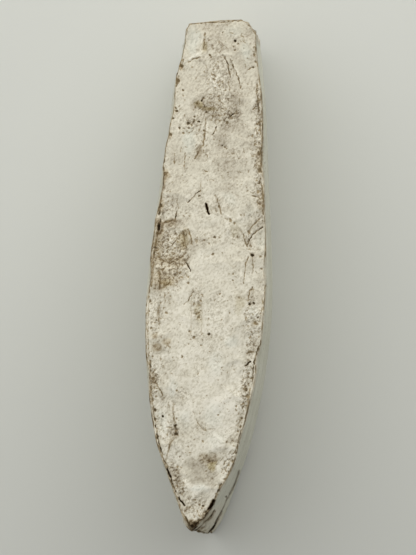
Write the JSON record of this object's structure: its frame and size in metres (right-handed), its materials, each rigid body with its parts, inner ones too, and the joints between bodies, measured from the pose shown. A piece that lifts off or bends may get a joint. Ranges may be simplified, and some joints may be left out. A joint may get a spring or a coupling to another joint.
{
  "type": "flint axe head",
  "caption": "Thick-butted flint axe head with ground broad faces, knapped narrow sides, a flat square butt and a curved bevel to the cutting edge.",
  "frame": {"origin": "centre of the bounding box in X and Y, at the level of the narrow side that the stone stands on", "axes": "+Z from the lower narrow side to the upper one that the picture shows, +Y from the cutting edge to the butt, X across the thickness"},
  "size_m": [0.0392, 0.1638, 0.0621],
  "materials": {
    "patinated_flint": "matt cream patina on the knapped sides, low satin on the ground broad faces"
  },
  "bodies": {
    "root": {"axe_head": "patinated_flint"}
  },
  "joints": []
}
